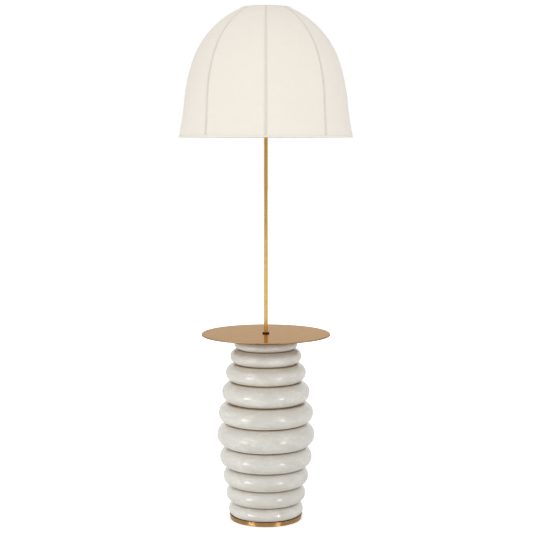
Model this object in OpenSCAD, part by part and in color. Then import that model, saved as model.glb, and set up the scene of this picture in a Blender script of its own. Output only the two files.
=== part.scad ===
// Floor lamp with a round tray table.
// Ten hollow ceramic rings stand on a brass foot and are clamped by one threaded
// rod. The rod also carries the tray and the brass pole. A wire harp at the head
// holds a dome shade of eight gores, which turns on the harp's stud.
// Millimetres. The floor is z = 0, the pole is the Z axis and the front is -Y.

/* [Foot] */
// Radius of the brass foot's skirt
foot_r = 121; // [112:0.5:140]
// Height of the foot, floor to the lowest ring's seat
foot_h = 17.5; // [15:0.5:30]
// Sheet thickness of the foot
foot_wall = 1.5; // [1:0.1:2.5]
// Radius of the rolled edge round the foot's top
foot_edge_r = 3; // [2.6:0.1:4]
// How far the rolled edge stands out beyond the skirt
foot_lip = 2; // [1:0.1:2.4]
// Gap between the foot's skirt and the floor
foot_lift = 1; // [0.5:0.1:1.5]
// Thickness of the felt pad
felt_t = 2; // [1.6:0.1:4]
// Gap between the cast weight and the foot's skirt
weight_gap = 1.5; // [0.5:0.1:5]
// Radius of the nut's recess under the weight
recess_r = 17; // [16:0.5:24]
// Height of the recess
recess_h = 7.5; // [7:0.1:9]

/* [Cord outlet] */
// Bore radius of the cord bushing
outlet_r = 3.2; // [2:0.1:3.2]
// Wall of the bushing's neck
outlet_wall = 1; // [0.6:0.1:1]
// Flange width beyond the neck
outlet_lip = 1; // [0.7:0.1:1.1]
// Flange thickness
outlet_lip_t = 1.6; // [1:0.1:3]
// Height of the outlet's centre
outlet_z = 6.3; // [6.2:0.1:6.4]
// Width of the cord channel under the weight
channel_w = 14; // [12:0.5:20]
// Height of the channel
channel_h = 11; // [10.6:0.1:12]

/* [Ceramic rings] */
// Height of each ring between its seats, lowest first
ring_h = [41.5, 58, 62, 69, 80, 68.5, 71.5, 61, 49.5, 30.5]; // [25:0.5:90]
// Outer radius of each ring, lowest first
ring_r = [125, 133.5, 143.5, 155.5, 165, 160, 148, 135, 120, 106]; // [80:0.5:190]
// How much of the lowest ring's roll the foot cuts off
ring_cut = 10; // [0:0.5:15]
// Wall of the rings
ring_wall = 4.5; // [3:0.25:7]
// Clearance of the rings on the rod
ring_clear = 0.35; // [0.2:0.05:2]

/* [Rod and nut] */
// Outer radius of the threaded rod
rod_r = 5.15; // [4:0.05:5.6]
// Wall of the rod
rod_wall = 1.6; // [1:0.1:2]
// Length of rod inside the pole
rod_in_pole = 30; // [15:1:80]
// Clearance of what slips over the rod
slip = 0.05; // [0.02:0.01:0.1]
// Washer radius
washer_r = 14; // [12:0.5:15]
// Washer thickness
washer_t = 1.5; // [1:0.1:1.6]
// Nut width across flats
nut_af = 19; // [16:0.5:22]
// Nut height
nut_h = 4; // [3:0.1:4.5]

/* [Tray] */
// Radius of the tray
tray_r = 215.5; // [180:0.5:260]
// Sheet thickness of the tray
tray_t = 1.5; // [1:0.1:3]
// Depth of the tray's turned-down rim
tray_rim = 4.5; // [4:0.1:12]
// Radius of the rim's bend
tray_edge_r = 1.8; // [1.6:0.1:3.5]
// Height of the spool between the top ring and the tray
spool_h = 20; // [14:0.5:40]
// Flange radius of the spool
spool_r = 72; // [50:1:100]
// Foot radius of the spool
spool_foot_r = 46; // [30:1:60]
// Hub radius of the spool
spool_hub_r = 14; // [10:0.5:25]
// Flange thickness of the spool
spool_t = 3; // [2:0.1:5]

/* [Pole] */
// Outer radius of the pole
pole_r = 6.6; // [6:0.1:9]
// Length of the pole
pole_l = 725; // [500:1:1100]
// Radius of the collar at the pole's foot
collar_r = 11.6; // [9:0.1:16]
// Height of the collar
collar_h = 5; // [3:0.1:12]
// Radius of the neck ring on the pole's head
neck_r = 9; // [8:0.1:14]
// Height of the neck ring
neck_h = 3.5; // [2:0.1:10]

/* [Socket] */
// Radius of the socket cap
cap_r = 17; // [16.5:0.1:20]
// Height of the socket cap
cap_h = 20; // [18:0.5:30]
// Sheet thickness of the cap and the shell
socket_wall = 0.8; // [0.5:0.1:0.9]
// Gap between one sleeve of the socket and the next
sleeve_gap = 0.2; // [0.15:0.01:0.25]
// Thickness of the insulating liner
liner_t = 0.8; // [0.5:0.1:0.9]
// Height of the socket's moulded core
core_h = 20; // [18:0.5:24]
// Height of the screw shell on the core
screw_h = 25; // [20:0.5:27]
// Wall of the screw shell
screw_t = 0.4; // [0.3:0.05:0.5]

/* [Switch] */
// Radius of the switch shaft
shaft_r = 2; // [1.5:0.1:2.5]
// Running clearance of the shaft in the core
shaft_run = 0.05; // [0.02:0.01:0.1]
// Depth of the shaft's bore in the core
shaft_depth = 8; // [5:0.5:10]
// Gap between the shell and the knob
knob_gap = 3; // [1:0.5:8]
// Radius of the knob
knob_r = 7; // [5:0.1:9]
// Length of the knob
knob_l = 10; // [6:0.5:16]
// Number of grip flutes on the knob
knob_flutes = 10; // [6:1:16]

/* [Bulb] */
// Radius of the bulb's glass
bulb_r = 30; // [22:0.5:36]
// Length of the glass above its cap
bulb_l = 84; // [76:1:100]
// Wall of the glass
bulb_wall = 1; // [0.6:0.1:1.5]
// How far the bulb's cap stands out of the screw shell
bulb_standout = 1; // [0.5:0.1:4]

/* [Harp] */
// Height of the harp, saddle to crown
harp_h = 304.5; // [280:0.5:340]
// Wire radius of the harp
harp_wire_r = 1.75; // [1.5:0.05:2.2]
// Distance of each leg from the axis
harp_leg = 30; // [24:0.5:36]
// Outward lean of the legs
harp_lean = 20; // [12:0.5:24]
// Inward lean at the shoulders
harp_shoulder = 8; // [4:0.5:12]
// Bend radius at the foot of each leg
harp_bend_r = 25; // [15:1:35]
// Saddle strip thickness
saddle_t = 1.5; // [1.2:0.1:2]
// Saddle strip width
saddle_w = 14; // [12.5:0.5:18]
// Height of the saddle's ears
ear_h = 18; // [14:0.5:24]
// Width of the ears' tips
ear_w = 4.4; // [3:0.1:4.8]
// Length of the sleeves that lock the legs
ferrule_l = 20; // [14:0.5:26]
// Wall of the sleeves
ferrule_wall = 1; // [0.6:0.1:1.6]
// Radius of the crown's boss
boss_r = 6; // [5:0.1:8]
// Height of the boss above the wire's centre
boss_h = 6; // [4:0.1:10]
// Radius of the threaded stud
stud_r = 3.15; // [2.5:0.05:3.5]
// Length of the stud
stud_l = 17; // [12:0.5:20]
// Height of the finial
finial_h = 25; // [23:0.5:30]
// Radius of the finial's ball
finial_r = 7; // [6.5:0.1:9]

/* [Shade outline] */
// Radius of the shade's top edge
shade_top_r = 78; // [60:0.5:100]
// Height of the top edge above the spider's seat
shade_drop = 29; // [26:0.5:50]
// Slope of the fabric at the top edge
crown_slope = 22.7; // [15:0.1:30]
// Radius of the shoulder arc
shoulder_r = 289; // [260:1:330]
// Turn of the shoulder arc
shoulder_turn = 48.9; // [44:0.1:52]
// Radius of the side arc
side_r = 589; // [500:1:800]
// Turn of the side arc
side_turn = 12.8; // [9:0.1:15]
// Radius of the flare toward the hem
flare_r = 1007; // [800:1:2000]
// Turn of the flare
flare_turn = 6.8; // [3:0.1:9]

/* [Shade parts] */
// Number of gores and ribs
gores = 8; // [8]
// Thickness of the lined fabric
fabric_t = 1; // [0.6:0.1:2]
// Radius of the rib wire
rib_r = 1.6; // [1.2:0.1:2.5]
// Radius of the hoop wire
hoop_r = 2; // [1.6:0.1:3]
// Gap between the fabric and the wires
wire_gap = 0.3; // [0.3:0.05:0.8]
// Width of the tape along each seam
seam_w = 5; // [3:0.1:8]
// Width of the trim round the two edges
trim_w = 6; // [4:0.1:14]
// Thickness of the tapes
tape_t = 0.8; // [0.4:0.1:1.5]
// Radius of the spider's washer
spider_r = 13; // [12:0.5:18]
// Thickness of the spider's washer
spider_t = 2; // [1.5:0.1:3]
// Number of spider arms
spider_arms = 4; // [3:1:6]
// Level run of each arm before it rises
spider_level = 48; // [30:1:55]

/* [Hidden] */

$fn = 96;
facet_turn = 2.5; // turn of the outline between two of its points
bead_share = 1.02; // radius of the bead that joins two lengths of wire, as a share of the wire's
face_gap = 0.05; // gap kept where a flat tape lies on the curved fabric
fold_gap = 0.25; // gap between the fabric and the outer fold of a round trim
cut_over = 1; // how far a cutting shape runs past what it cuts

BRASS = [0.80, 0.62, 0.33];
BRONZE = [0.25, 0.19, 0.13];
STEEL = [0.62, 0.62, 0.64];
IRON = [0.28, 0.28, 0.29];
FELT = [0.16, 0.14, 0.13];
GLAZE = [0.86, 0.84, 0.79];
FABRIC = [0.95, 0.92, 0.87];
TAPE = [0.88, 0.86, 0.82];
BLACK = [0.12, 0.12, 0.12];
CARD = [0.55, 0.45, 0.34];
OPAL = [0.97, 0.96, 0.93];

// Sum of the first n values of v
function total(v, n, i = 0) = i >= n ? 0 : v[i] + total(v, n, i + 1);

// Heights, each standing on the one before
function seat_z(i) = foot_h + total(ring_h, i);
stack_z = seat_z(len(ring_h));
tray_z = stack_z + spool_h;
tray_top_z = tray_z + tray_t;
pole_z = tray_top_z + collar_h;
pole_top_z = pole_z + pole_l;
saddle_z = pole_top_z + neck_h;
cap_z = saddle_z + saddle_t;
cap_top_z = cap_z + cap_h;
crown_z = saddle_z + harp_h;
shoulder_z = crown_z + boss_h;
seat_top_z = shoulder_z + spider_t;
shade_top_z = seat_top_z + shade_drop;

recess_z = felt_t + recess_h;
rod_bore_r = rod_r + slip;
rod_z = recess_z - washer_t - nut_h - felt_t;
tray_hole_r = rod_r + ring_clear;

// The socket's sleeves, from the outside in
shell_r = cap_r - socket_wall - sleeve_gap;
liner_r = shell_r - socket_wall - sleeve_gap;
core_r = liner_r - liner_t - sleeve_gap;
bulb_cap_r = core_r - screw_t - sleeve_gap;
shell_z = cap_top_z - 0.45 * cap_h;
core_z = cap_z + 1.5 * socket_wall + core_r - neck_r + sleeve_gap;
shaft_hole_r = shaft_r + 1;
shaft_z = cap_top_z + shaft_hole_r + sleeve_gap;
screw_z = core_z + core_h + shaft_hole_r;
shell_top_z = screw_z + screw_h;
bulb_cap_l = screw_h + bulb_standout;
knob_y = shell_r + knob_gap;

// A state is a point of an outline and the heading of the outline there, [x, z, heading].
// A positive radius turns to the right, which is inward on the shade.
function normal(h) = [sin(h), -cos(h)];
function turned(s, r, a) =
    let (h = s[2] - sign(r) * a, shift = r * (normal(s[2]) - normal(h)))
    [s[0] + shift[0], s[1] + shift[1], h];
function chain(s, arcs, i = 0) =
    i == len(arcs) ? [s] : concat([s], chain(turned(s, arcs[i][0], arcs[i][1]), arcs, i + 1));
// The point that lies `along` further on the heading and `inset` to its right
function beside(s, along, inset) =
    [s[0] + along * cos(s[2]) + inset * sin(s[2]), s[1] + along * sin(s[2]) - inset * cos(s[2])];
function reversed(v) = [for (i = [len(v) - 1:-1:0]) v[i]];
function degrees(l, r) = l / abs(r) * 180 / PI;

// The shade's outline is the outer face of its fabric, from the top edge down to the hem
shade_arcs = [[shoulder_r, shoulder_turn], [side_r, side_turn], [-flare_r, flare_turn]];
shade_states = chain([shade_top_r, shade_top_z, -crown_slope], shade_arcs);
shade_top = shade_states[0];
shade_hem = shade_states[len(shade_arcs)];

// The shade's arcs with a length cut off at each end, each as [state, radius, turn]
function cut_arcs(l) =
    [for (i = [0:len(shade_arcs) - 1])
        let (r = shade_arcs[i][0], a = shade_arcs[i][1], cut = degrees(l, r))
        i == 0 ? [turned(shade_states[i], r, cut), r, a - cut]
        : [shade_states[i], r, i == len(shade_arcs) - 1 ? a - cut : a]];

// Points of the outline, moved inward by inset, with a length cut off at each end
function trace(inset, l = 0) =
    [for (arc = cut_arcs(l), n = [ceil(arc[2] / facet_turn)], i = [0:n])
        if (i < n || arc[1] < 0) beside(turned(arc[0], arc[1], arc[2] * i / n), 0, inset)];

// A strip of cloth or tape between two insets from the outline
module strip(outer, inner, l = 0) {
    polygon(concat(trace(outer, l), reversed(trace(inner, l))));
}

// One arc of round wire in the XZ plane, from a state, inset to its right
module wire_arc(s, r, a, inset, wire_r) {
    c = beside(s, 0, r);
    translate([c[0], 0, c[1]])
        rotate([90, 0, 0])
            rotate([0, 0, r > 0 ? s[2] - a + 90 : s[2] - 90])
                rotate_extrude(angle = a)
                    translate([abs(r - inset), 0]) circle(wire_r, $fn = 32);
}

// The bead that joins two lengths of wire where a state ends one and starts the next
module wire_bead(s, inset, wire_r) {
    at = beside(s, 0, inset);
    translate([at[0], 0, at[1]]) sphere(wire_r * bead_share, $fn = 32);
}

// A straight round bar from p to q
module bar(p, q, r) {
    d = q - p;
    translate(p)
        rotate([0, acos(d[2] / norm(d)), atan2(d[1], d[0])])
            cylinder(h = norm(d), r = r, $fn = 32);
}

// A tube on the axis that stands at z
module tube(z, h, outer, inner) {
    translate([0, 0, z]) difference() {
        cylinder(h = h, r = outer);
        translate([0, 0, -cut_over]) cylinder(h = h + 2 * cut_over, r = inner);
    }
}

// A bore toward the front, from the axis through the front wall at height z
module front_bore(z, r) {
    translate([0, 0, z]) rotate([90, 0, 0]) cylinder(h = cap_r + cut_over, r = r, $fn = 32);
}

module felt_pad() {
    color(FELT) tube(0, felt_t, foot_r - foot_wall - weight_gap, recess_r);
}

// Half the foot's section: a flat top, a rolled edge that stands out, and a straight skirt
module foot_outline(inset) {
    roll = [foot_r + foot_lip - foot_edge_r, foot_h - foot_edge_r];
    square([roll[0], foot_h - inset]);
    square([foot_r - inset, roll[1]]);
    translate(roll) circle(foot_edge_r - inset, $fn = 48);
}

module foot() {
    color(BRASS) difference() {
        rotate_extrude() difference() {
            foot_outline(0);
            foot_outline(foot_wall);
            square([rod_r + ring_clear, foot_h + cut_over]);
            square([foot_r + cut_over, foot_lift]);
        }
        translate([0, 0, outlet_z])
            rotate([-90, 0, 0])
                cylinder(h = foot_r + cut_over, r = outlet_r + outlet_wall + slip, $fn = 48);
    }
}

module foot_weight() {
    r = foot_r - foot_wall - weight_gap;
    top = foot_h - foot_wall;
    edge = foot_edge_r - foot_wall;
    color(IRON) difference() {
        translate([0, 0, felt_t]) cylinder(h = top - felt_t, r = r - edge);
        translate([0, 0, felt_t - cut_over]) cylinder(h = recess_h + cut_over, r = recess_r);
        cylinder(h = foot_h, r = rod_r + ring_clear);
        translate([-channel_w / 2, 0, felt_t - cut_over])
            cube([channel_w, foot_r, channel_h + cut_over]);
    }
}

module bottom_washer() {
    color(STEEL) tube(recess_z - washer_t, washer_t, washer_r, rod_r + ring_clear);
}

module bottom_nut() {
    color(BRASS) translate([0, 0, recess_z - washer_t - nut_h]) difference() {
        cylinder(h = nut_h, r = nut_af / 2 / cos(30), $fn = 6);
        translate([0, 0, -cut_over]) cylinder(h = nut_h + 2 * cut_over, r = rod_bore_r);
    }
}

module cord_bushing() {
    neck = outlet_r + outlet_wall;
    inner_face = foot_r - foot_wall - 2 * slip - outlet_lip;
    color(BLACK) translate([0, 0, outlet_z]) rotate([-90, 0, 0]) difference() {
        union() {
            translate([0, 0, inner_face]) cylinder(h = foot_r - inner_face + slip, r = neck);
            translate([0, 0, foot_r + slip]) cylinder(h = outlet_lip_t, r = neck + outlet_lip);
        }
        translate([0, 0, inner_face - cut_over])
            cylinder(h = foot_r, r = outlet_r);
    }
}

// Half a ring's section, thinned by inset: a flat-topped disc whose rim is one round roll
module ring_outline(i, inset) {
    low = i == 0 ? ring_cut : 0;
    roll = (ring_h[i] + low) / 2;
    intersection() {
        translate([0, roll - low]) {
            translate([0, inset - roll]) square([ring_r[i] - roll, 2 * (roll - inset)]);
            translate([ring_r[i] - roll, 0]) circle(roll - inset);
        }
        translate([0, inset]) square([ring_r[i], ring_h[i] - 2 * inset]);
    }
}

module ring(i) {
    color(GLAZE) translate([0, 0, seat_z(i)]) rotate_extrude() difference() {
        ring_outline(i, 0);
        ring_outline(i, ring_wall);
        square([rod_r + ring_clear, ring_h[i]]);
    }
}

module threaded_rod() {
    color(STEEL) tube(rod_z, pole_z + rod_in_pole - rod_z, rod_r, rod_r - rod_wall);
}

module tray_spool() {
    color(IRON) translate([0, 0, stack_z]) rotate_extrude() difference() {
        union() {
            square([spool_foot_r, spool_t]);
            square([spool_hub_r, spool_h]);
            translate([0, spool_h - spool_t]) square([spool_r, spool_t]);
        }
        square([rod_r + ring_clear, spool_h]);
    }
}

// Half the tray's section: a flat top and a rim turned down with a round bend
module tray_outline(inset) {
    r = tray_r - inset;
    edge = tray_edge_r - inset;
    top = tray_rim - inset;
    square([r - edge, top]);
    square([r, top - edge]);
    translate([r - edge, top - edge]) circle(edge, $fn = 48);
}

module tray() {
    color(BRASS) translate([0, 0, tray_top_z - tray_rim]) rotate_extrude() difference() {
        tray_outline(0);
        tray_outline(tray_t);
        square([tray_hole_r, tray_rim + cut_over]);
    }
}

module pole_collar() {
    color(BRONZE) tube(tray_top_z, collar_h, collar_r, rod_bore_r);
}

module pole() {
    color(BRASS) tube(pole_z, pole_l, pole_r, rod_bore_r);
}

module neck_ring() {
    color(BRASS) tube(pole_top_z, neck_h, neck_r, rod_bore_r);
}

module neck_nipple() {
    low = pole_top_z - rod_in_pole / 2;
    color(STEEL) tube(low, core_z - sleeve_gap - low, rod_r, rod_r - rod_wall);
}

// A strip bent up into an ear at each end, which narrows to a tip under the harp's leg
module harp_saddle() {
    half = harp_leg + saddle_t / 2;
    color(STEEL) difference() {
        translate([0, 0, saddle_z]) {
            translate([-half, -saddle_w / 2, 0]) cube([2 * half, saddle_w, saddle_t]);
            for (side = [-1, 1]) translate([side * harp_leg, 0, 0]) {
                translate([-saddle_t / 2, -saddle_w / 2, 0])
                    cube([saddle_t, saddle_w, ear_h - ferrule_l / 2]);
                translate([-saddle_t / 2, -ear_w / 2, 0]) cube([saddle_t, ear_w, ear_h]);
            }
        }
        translate([0, 0, saddle_z - cut_over])
            cylinder(h = saddle_t + 2 * cut_over, r = rod_bore_r);
    }
}

module socket_cap() {
    flat = neck_r;
    rise = cap_r - flat;
    color(BRASS) translate([0, 0, cap_z]) rotate_extrude() difference() {
        polygon([[0, 0], [flat, 0], [cap_r, rise], [cap_r, cap_h], [0, cap_h]]);
        polygon([[0, socket_wall], [flat - socket_wall / 2, socket_wall],
            [cap_r - socket_wall, rise + socket_wall / 2], [cap_r - socket_wall, cap_h + cut_over],
            [0, cap_h + cut_over]]);
        square([rod_bore_r, cap_h]);
    }
}

module socket_shell() {
    color(BRASS) difference() {
        tube(shell_z, shell_top_z - shell_z, shell_r, shell_r - socket_wall);
        front_bore(shaft_z, shaft_hole_r);
    }
}

module socket_liner() {
    color(CARD) difference() {
        tube(shell_z, shell_top_z - shell_z - 2 * socket_wall, liner_r, liner_r - liner_t);
        front_bore(shaft_z, shaft_hole_r);
    }
}

module socket_core() {
    color(BLACK) difference() {
        translate([0, 0, core_z]) cylinder(h = screw_z - core_z, r = core_r);
        translate([0, shaft_depth - core_r, 0]) front_bore(shaft_z, shaft_r + shaft_run);
    }
}

module screw_shell() {
    color(STEEL) tube(screw_z, screw_h, core_r, core_r - screw_t);
}

module bulb_cap() {
    tip_h = 3;
    color(STEEL) translate([0, 0, screw_z]) {
        cylinder(h = tip_h, r1 = bulb_cap_r / 3, r2 = bulb_cap_r);
        translate([0, 0, tip_h]) cylinder(h = bulb_cap_l - tip_h, r = bulb_cap_r);
    }
}

// Half the glass's section, thinned by inset: a ball that runs down into a neck
module bulb_outline(inset) {
    ball_z = bulb_l - bulb_r;
    lean = asin((bulb_r - bulb_cap_r) / ball_z);
    touch = (bulb_r - inset) * [cos(lean), -sin(lean)];
    intersection() {
        union() {
            translate([0, ball_z]) circle(bulb_r - inset);
            polygon([[0, 0], [bulb_cap_r - inset, 0], [touch[0], ball_z + touch[1]], [0, ball_z]]);
        }
        square([bulb_r, bulb_l]);
    }
}

module bulb_glass() {
    color(OPAL) translate([0, 0, screw_z + bulb_cap_l]) rotate_extrude() difference() {
        bulb_outline(0);
        difference() {
            bulb_outline(bulb_wall);
            square([bulb_r, bulb_wall]);
        }
    }
}

// The harp's half outline: up from the ear, a bend outward, the long side and the top bend
harp_z = saddle_z + ear_h;
harp_stub = ferrule_l / 2;
harp_flat = boss_r + 0.5;
harp_foot = turned([harp_leg, harp_z + harp_stub, 90], harp_bend_r, harp_lean);
harp_rise = crown_z - harp_foot[1];
harp_in = harp_foot[0] - harp_flat;
harp_x = cos(harp_shoulder) - cos(harp_lean);
harp_top_share = (1 - sin(harp_shoulder)) / cos(harp_shoulder);
harp_side_r = (harp_rise - harp_top_share * harp_in)
    / (sin(harp_lean) + sin(harp_shoulder) + harp_top_share * harp_x);
harp_top_r = (harp_in + harp_side_r * harp_x) / cos(harp_shoulder);
harp_arcs = [[harp_bend_r, harp_lean], [-harp_side_r, harp_lean + harp_shoulder],
    [-harp_top_r, 90 - harp_shoulder]];
harp_states = chain([harp_leg, harp_z + harp_stub, 90], harp_arcs);

module harp_wire() {
    color(BRASS) for (side = [0, 1]) mirror([side, 0, 0]) {
        translate([harp_leg, 0, harp_z]) cylinder(h = harp_stub, r = harp_wire_r, $fn = 32);
        for (i = [0:len(harp_arcs) - 1])
            wire_arc(harp_states[i], harp_arcs[i][0], harp_arcs[i][1], 0, harp_wire_r);
        for (s = harp_states) wire_bead(s, 0, harp_wire_r);
    }
    color(BRASS) bar([-harp_flat, 0, crown_z], [harp_flat, 0, crown_z], harp_wire_r);
}

module harp_ferrules() {
    inner = max(ear_w / 2 + 0.4, harp_wire_r + 0.3);
    color(BRASS) for (side = [-1, 1]) translate([side * harp_leg, 0, 0])
        tube(harp_z - ferrule_l / 2 + 0.3, ferrule_l, inner + ferrule_wall, inner);
}

// The boss that the wire passes through, with the threaded stud on its shoulder
module harp_crown() {
    low = 2 * harp_wire_r;
    color(BRASS) difference() {
        union() {
            translate([0, 0, crown_z - low]) cylinder(h = low + boss_h, r = boss_r, $fn = 48);
            translate([0, 0, shoulder_z]) cylinder(h = stud_l, r = stud_r, $fn = 48);
        }
        bar([-boss_r - cut_over, 0, crown_z], [boss_r + cut_over, 0, crown_z], harp_wire_r + slip);
    }
}

module switch_shaft() {
    back = core_r - shaft_depth + slip;
    color(STEEL) translate([0, -back, shaft_z]) rotate([90, 0, 0])
        cylinder(h = knob_y + knob_l - 2 * socket_wall - back, r = shaft_r, $fn = 32);
}

module switch_knob() {
    flute_r = PI * knob_r / knob_flutes / 2;
    color(BLACK) translate([0, -knob_y, shaft_z]) rotate([90, 0, 0]) difference() {
        cylinder(h = knob_l, r = knob_r);
        for (i = [0:knob_flutes - 1]) rotate([0, 0, i * 360 / knob_flutes])
            translate([knob_r, 0, 2 * socket_wall])
                cylinder(h = knob_l, r = flute_r, $fn = 16);
        translate([0, 0, -cut_over])
            cylinder(h = knob_l - 2 * socket_wall + cut_over, r = shaft_r + slip / 2, $fn = 32);
    }
}

module finial() {
    ball_z = finial_h - finial_r;
    neck = stud_r + 1;
    color(BRASS) translate([0, 0, seat_top_z]) difference() {
        union() {
            cylinder(h = 2, r = boss_r);
            cylinder(h = ball_z, r = neck);
            translate([0, 0, ball_z]) sphere(finial_r);
        }
        translate([0, 0, -cut_over])
            cylinder(h = stud_l - spider_t + cut_over + sleeve_gap, r = stud_r + slip, $fn = 48);
    }
}

// Where the hoops lie: just inside the fabric, at its two edges
hoop_inset = fabric_t + wire_gap + hoop_r;
top_hoop_at = beside(shade_top, hoop_r, hoop_inset);
hem_hoop_at = beside(shade_hem, -hoop_r, hoop_inset);

module hoop(at) {
    color(STEEL) rotate_extrude() translate(at) circle(hoop_r, $fn = 32);
}

module top_hoop() { hoop(top_hoop_at); }
module hem_hoop() { hoop(hem_hoop_at); }

module spider() {
    end = [top_hoop_at[0] - hoop_r - rib_r, 0, top_hoop_at[1]];
    bend = [spider_level, 0, seat_top_z];
    color(STEEL) {
        tube(shoulder_z, spider_t, spider_r, stud_r + shaft_run);
        for (i = [0:spider_arms - 1]) rotate([0, 0, i * 360 / spider_arms]) {
            bar([boss_r + rib_r, 0, seat_top_z], bend, rib_r);
            translate(bend) sphere(rib_r, $fn = 32);
            bar(bend, end, rib_r);
        }
    }
}

module ribs() {
    inset = fabric_t + wire_gap + rib_r;
    color(STEEL) for (i = [0:gores - 1]) rotate([0, 0, i * 360 / gores]) {
        for (arc = cut_arcs(2 * hoop_r + wire_gap))
            wire_arc(arc[0], arc[1], arc[2], inset, rib_r);
        for (k = [1:len(shade_arcs) - 1]) wire_bead(shade_states[k], inset, rib_r);
    }
}

// One gore, from the seam at its right to the next; the first starts at the front
module gore(i) {
    turn = 360 / gores;
    color(FABRIC) rotate([0, 0, i * turn - 90]) rotate_extrude(angle = turn) strip(0, fabric_t);
}

module seam_tapes() {
    color(TAPE) for (i = [0:gores - 1]) rotate([90, 0, i * 360 / gores])
        translate([0, 0, -seam_w / 2])
            linear_extrude(seam_w) strip(-face_gap - tape_t, -face_gap, trim_w + face_gap);
}

// A trim folded over an edge of the fabric; out is -1 at the top edge and 1 at the hem
module edge_trim(s, out) {
    color(TAPE) rotate_extrude() polygon([
        beside(s, -out * trim_w, -fold_gap), beside(s, -out * trim_w, -fold_gap - tape_t),
        beside(s, out * tape_t, -fold_gap - tape_t), beside(s, out * tape_t, fabric_t),
        beside(s, out * face_gap, fabric_t), beside(s, out * face_gap, -fold_gap)]);
}

module top_trim() { edge_trim(shade_top, -1); }
module hem_trim() { edge_trim(shade_hem, 1); }

felt_pad();
foot();
foot_weight();
bottom_washer();
bottom_nut();
cord_bushing();
ring(0);  // ring_01
ring(1);  // ring_02
ring(2);  // ring_03
ring(3);  // ring_04
ring(4);  // ring_05
ring(5);  // ring_06
ring(6);  // ring_07
ring(7);  // ring_08
ring(8);  // ring_09
ring(9);  // ring_10
threaded_rod();
tray_spool();
tray();
pole_collar();
pole();
neck_ring();
neck_nipple();
harp_saddle();
socket_cap();
socket_shell();
socket_liner();
socket_core();
screw_shell();
bulb_cap();
bulb_glass();
harp_wire();
harp_ferrules();
harp_crown();
switch_shaft();
switch_knob();
finial();
spider();
top_hoop();
hem_hoop();
ribs();
gore(0);  // gore_1
gore(1);  // gore_2
gore(2);  // gore_3
gore(3);  // gore_4
gore(4);  // gore_5
gore(5);  // gore_6
gore(6);  // gore_7
gore(7);  // gore_8
seam_tapes();
top_trim();
hem_trim();
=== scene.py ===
# %% [markdown]
# # A floor lamp with a tray table
#
# The lamp is ten glazed rings stacked on a brass foot, a round brass tray, a slim brass
# pole and a dome shade of eight linen gores. This lesson loads its CAD model, which
# gives every size, as a fixed frame and dresses it: metal parts keep their CAD shape and
# get a finish, and the clay, the cloth and the thread are built new, where a plain CAD
# solid could not show how they were made.

# %% Load the CAD model
import math

import bpy
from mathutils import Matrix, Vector


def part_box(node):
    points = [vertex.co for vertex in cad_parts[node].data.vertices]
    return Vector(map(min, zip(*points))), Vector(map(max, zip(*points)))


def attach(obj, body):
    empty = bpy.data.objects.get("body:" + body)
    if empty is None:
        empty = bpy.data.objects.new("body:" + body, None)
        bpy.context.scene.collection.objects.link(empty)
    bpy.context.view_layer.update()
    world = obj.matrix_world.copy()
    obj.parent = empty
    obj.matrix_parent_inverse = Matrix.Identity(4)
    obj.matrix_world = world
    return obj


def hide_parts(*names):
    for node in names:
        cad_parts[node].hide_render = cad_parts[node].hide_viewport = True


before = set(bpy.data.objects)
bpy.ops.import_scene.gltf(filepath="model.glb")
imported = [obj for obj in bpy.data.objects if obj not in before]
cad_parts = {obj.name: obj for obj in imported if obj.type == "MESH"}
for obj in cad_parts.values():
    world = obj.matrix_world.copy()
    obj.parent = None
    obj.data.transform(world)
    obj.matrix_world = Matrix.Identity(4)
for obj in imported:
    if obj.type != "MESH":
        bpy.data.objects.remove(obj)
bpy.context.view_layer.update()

MM = 0.001

# %% [markdown]
# ## The camera
#
# A camera matches a photograph when it stands where the photographer stood. The round
# edges of tray, rings and hem look like ellipses, flat near eye level and rounder far
# below it, and that gives the height and the distance. A long lens keeps the lamp's
# sides nearly upright, and a small tilt down puts the whole lamp in a square picture.

# %% Place the camera
TILT_DOWN = 5.525


def put(name, data):
    """A new object with this data, in the scene."""
    thing = bpy.data.objects.new(name, data)
    bpy.context.scene.collection.objects.link(thing)
    return thing


camera = put("camera", bpy.data.cameras.new("camera"))
camera.location = (0.002, -4.271, 1.268)
camera.rotation_euler = (math.radians(90 - TILT_DOWN), 0, 0)
camera.data.sensor_width = 36
camera.data.lens = 86.9
bpy.context.scene.camera = camera
bpy.context.scene.view_settings.view_transform = "Standard"
print("camera", round(-camera.location.y, 2), "m away,", camera.data.lens, "mm lens")

# %% [markdown]
# ## Helpers for colours and nodes
#
# Colours are written the way a paint chart writes them, as sRGB hex, and one function
# turns them into the linear numbers that light is worked out with. A second function
# adds a node, sets it and wires it, in one line that reads from left to right. The most
# common kinds of node have a short name.

# %% Write the helpers
MATH, RANGE, MIX, BUMP = "ShaderNodeMath", "ShaderNodeMapRange", "ShaderNodeMix", "ShaderNodeBump"
SPLIT, MERGE, PLACE = "ShaderNodeSeparateXYZ", "ShaderNodeCombineXYZ", "ShaderNodeTexCoord"
VECTOR = "ShaderNodeVectorMath"


def srgb(code):
    """The linear colour for a hex code such as #E0DCD2."""
    parts = [int(code[i:i + 2], 16) / 255 for i in (1, 3, 5)]
    return (*[c / 12.92 if c <= 0.04045 else ((c + 0.055) / 1.055) ** 2.4 for c in parts], 1)


def wire(tree, node, links):
    """Gives a node's inputs a value, another node's output, or a node, which stands for
    its first output."""
    for key, value in links.items():
        plug = next(s for i, s in enumerate(node.inputs) if s.enabled and key in (i, s.name))
        if isinstance(value, bpy.types.Node):
            value = next(s for s in value.outputs if s.enabled)
        if isinstance(value, bpy.types.NodeSocket):
            tree.links.new(value, plug)
        else:
            plug.default_value = value


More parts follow.
